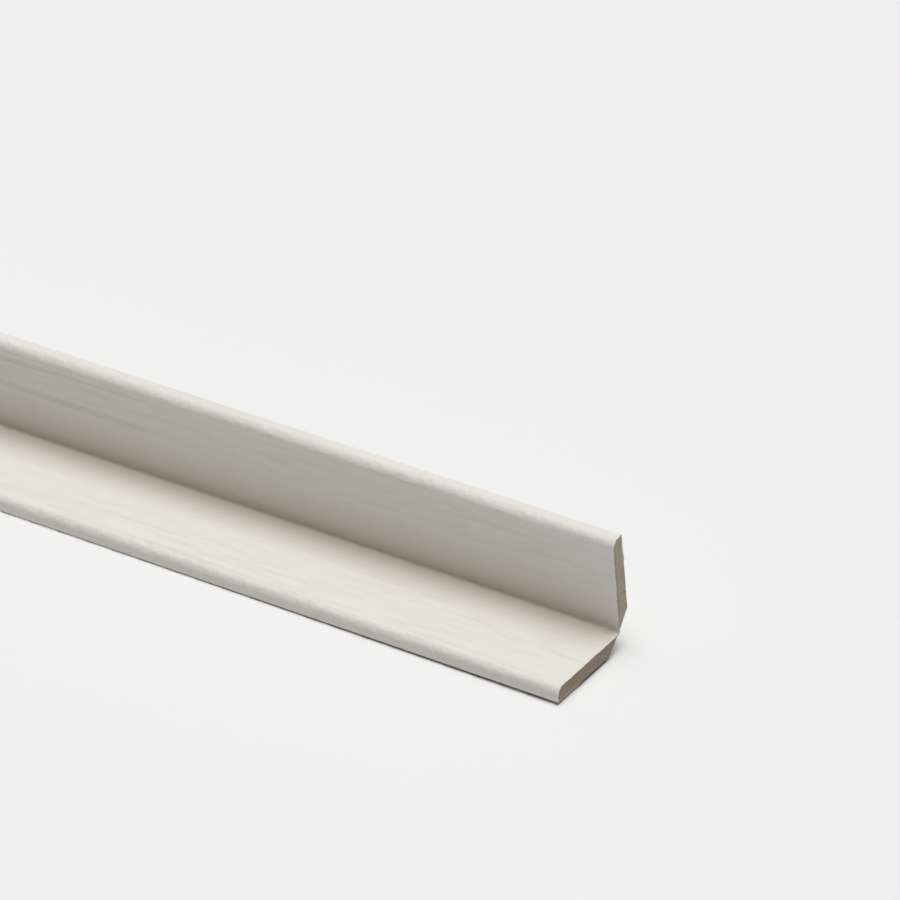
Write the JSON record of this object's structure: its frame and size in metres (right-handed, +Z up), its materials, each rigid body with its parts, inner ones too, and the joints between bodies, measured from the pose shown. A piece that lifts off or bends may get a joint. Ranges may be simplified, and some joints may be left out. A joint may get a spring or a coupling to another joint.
{
  "type": "folding mdf corner moulding",
  "caption": "Folding corner moulding: mitred MDF laths under one decor foil, which is the hinge of the fold and wraps the outer edges onto the backs.",
  "frame": {"origin": "middle of the footprint, on the floor", "axes": "+X along the moulding, towards the end the picture shows; -Y from the crease along the lying leg; +Z up, along the standing leg"},
  "size_m": [2.4, 0.025, 0.0254],
  "materials": {
    "fibreboard": "sawn and sanded MDF, bare",
    "decor_foil": "satin off-white decor foil with a faint lengthwise wood grain"
  },
  "bodies": {
    "lying_leg": {"lying_lath": "fibreboard", "decor_foil": "decor_foil"},
    "standing_leg": {"standing_lath": "fibreboard"}
  },
  "joints": [
    {"name": "fold", "type": "hinge", "parent": "lying_leg", "child": "standing_leg", "pos_m": [0, 0.00995, 0.0032], "axis": [1, 0, 0], "range_deg": [-188, 79], "deforming": ["decor_foil"]}
  ]
}
